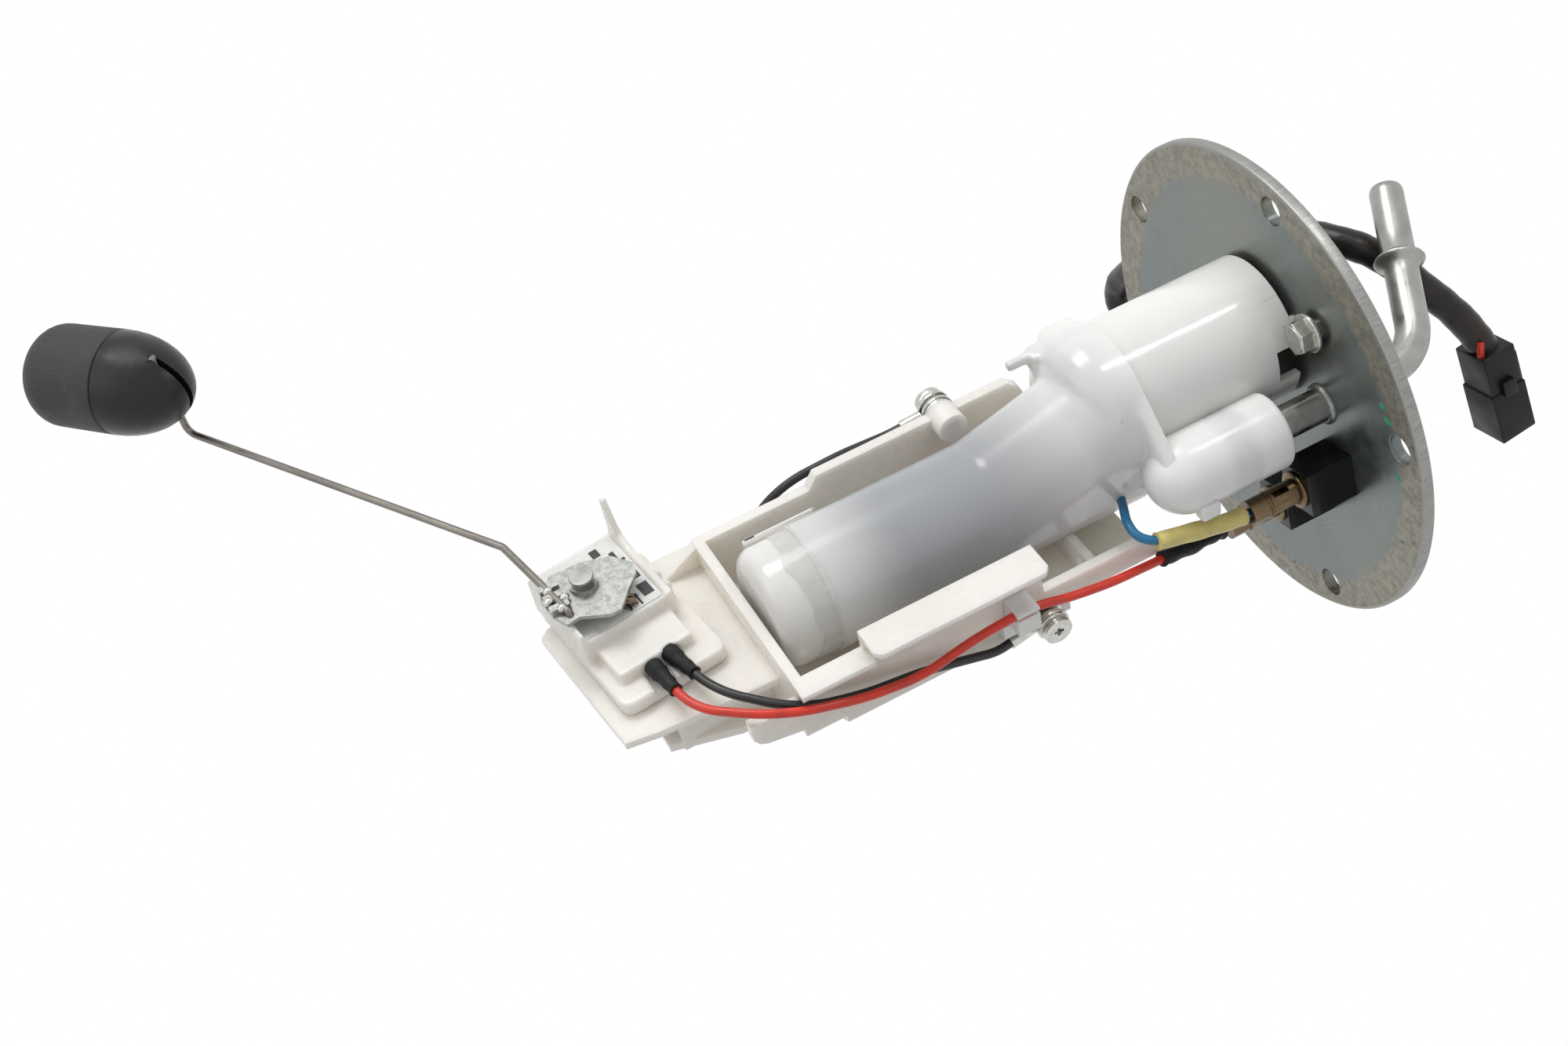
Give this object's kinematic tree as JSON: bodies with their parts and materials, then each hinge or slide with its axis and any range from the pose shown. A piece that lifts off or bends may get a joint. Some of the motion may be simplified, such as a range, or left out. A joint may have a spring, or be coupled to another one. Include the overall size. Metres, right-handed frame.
{
  "type": "in-tank fuel pump module",
  "caption": "Flange-mounted in-tank fuel pump with strainer, outlet housing, bent outlet pipe, wiring harness and a float-arm level sender.",
  "frame": {"origin": "centre of the tank-side face of the mounting flange", "axes": "+Z into the tank along the pump body; the open side of the tray and the sender card face -Y; +X is the side the float arm reaches to"},
  "size_m": [0.2175, 0.125, 0.3256],
  "materials": {
    "zinc_plate": "satin zinc plate",
    "bright_steel": "satin",
    "zinc_bolt": "bright zinc plate",
    "dark_steel": "satin",
    "grey_can": "satin grey",
    "die_cast": "as cast",
    "ferrite": "matt dark grey",
    "bronze": "dull bronze",
    "clear_nylon": "milky translucent",
    "white_nylon": "natural nylon, soft gloss",
    "filter_nylon": "woven mesh",
    "black_plastic": "black, slightly glossy",
    "black_rubber": "matt",
    "black_sheath": "black vinyl",
    "black_foam": "matt, fine grain",
    "red_vinyl": "vinyl",
    "blue_vinyl": "vinyl",
    "yellow_tube": "pale yellow tubing",
    "card_ceramic": "glazed white card with dark tracks"
  },
  "bodies": {
    "base": {"flange_plate": "zinc_plate", "outlet_pipe": "bright_steel", "pipe_weld": "bright_steel", "terminal_insulators": "black_plastic", "terminals": "bronze", "cable_grommet": "black_rubber", "harness_cable": "black_sheath", "connector": "black_plastic", "connector_terminals": "bronze", "strainer_cover": "white_nylon", "flange_bolt": "zinc_bolt", "strainer": "filter_nylon", "pump_shell": "clear_nylon", "end_cap": "clear_nylon", "cap_collar": "clear_nylon", "pump_can": "grey_can", "inlet_casing": "die_cast", "outlet_casing": "die_cast", "magnets": "ferrite", "brush_holder": "white_nylon", "brushes": "ferrite", "outlet_housing": "white_nylon", "outlet_o_ring": "black_rubber", "regulator_body": "bright_steel", "regulator_spring": "dark_steel", "tray": "white_nylon", "ground_screws": "zinc_bolt", "spring_washers": "zinc_bolt", "ring_terminals": "zinc_bolt", "red_lead": "red_vinyl", "black_lead": "black_sheath", "ground_lead": "black_sheath", "blue_lead": "blue_vinyl", "yellow_sleeve": "yellow_tube", "black_sleeve": "black_rubber", "cable_clip": "white_nylon", "terminal_boots": "black_rubber", "sender_housing": "white_nylon", "resistor_card": "card_ceramic", "card_pads": "ferrite", "pivot_pin": "bright_steel"},
    "arm": {"wiper_plate": "zinc_plate", "wiper_contacts": "bronze", "float_arm": "dark_steel"},
    "float": {"float_body": "black_foam", "float_cap": "black_plastic"},
    "rotor": {"rotor": "dark_steel", "impeller": "black_plastic"},
    "regulator_valve": {"regulator_valve": "dark_steel"},
    "check_valve": {"check_valve": "black_plastic"}
  },
  "joints": [
    {"name": "arm_swing", "type": "hinge", "parent": "base", "child": "arm", "pos_m": [0.0203, -0.0115, 0.1647], "axis": [0, -1, 0], "range_deg": [-50, 45]},
    {"name": "float_swivel", "type": "hinge", "parent": "arm", "child": "float", "pos_m": [0.1257, -0.032, 0.2275], "axis": [0, -1, 0], "range_deg": [-60, 60]},
    {"name": "rotor_spin", "type": "hinge", "parent": "base", "child": "rotor", "pos_m": [0, -0.0045, 0.07], "axis": [0, 0, 1], "continuous": true},
    {"name": "regulator_lift", "type": "slide", "parent": "base", "child": "regulator_valve", "axis": [0, 0, 1], "range_m": [0, 0.002], "stiffness_N_per_m": 500, "deforming": ["regulator_spring"]},
    {"name": "check_lift", "type": "slide", "parent": "base", "child": "check_valve", "axis": [0, 0, 1], "range_m": [0, 0.002]}
  ]
}
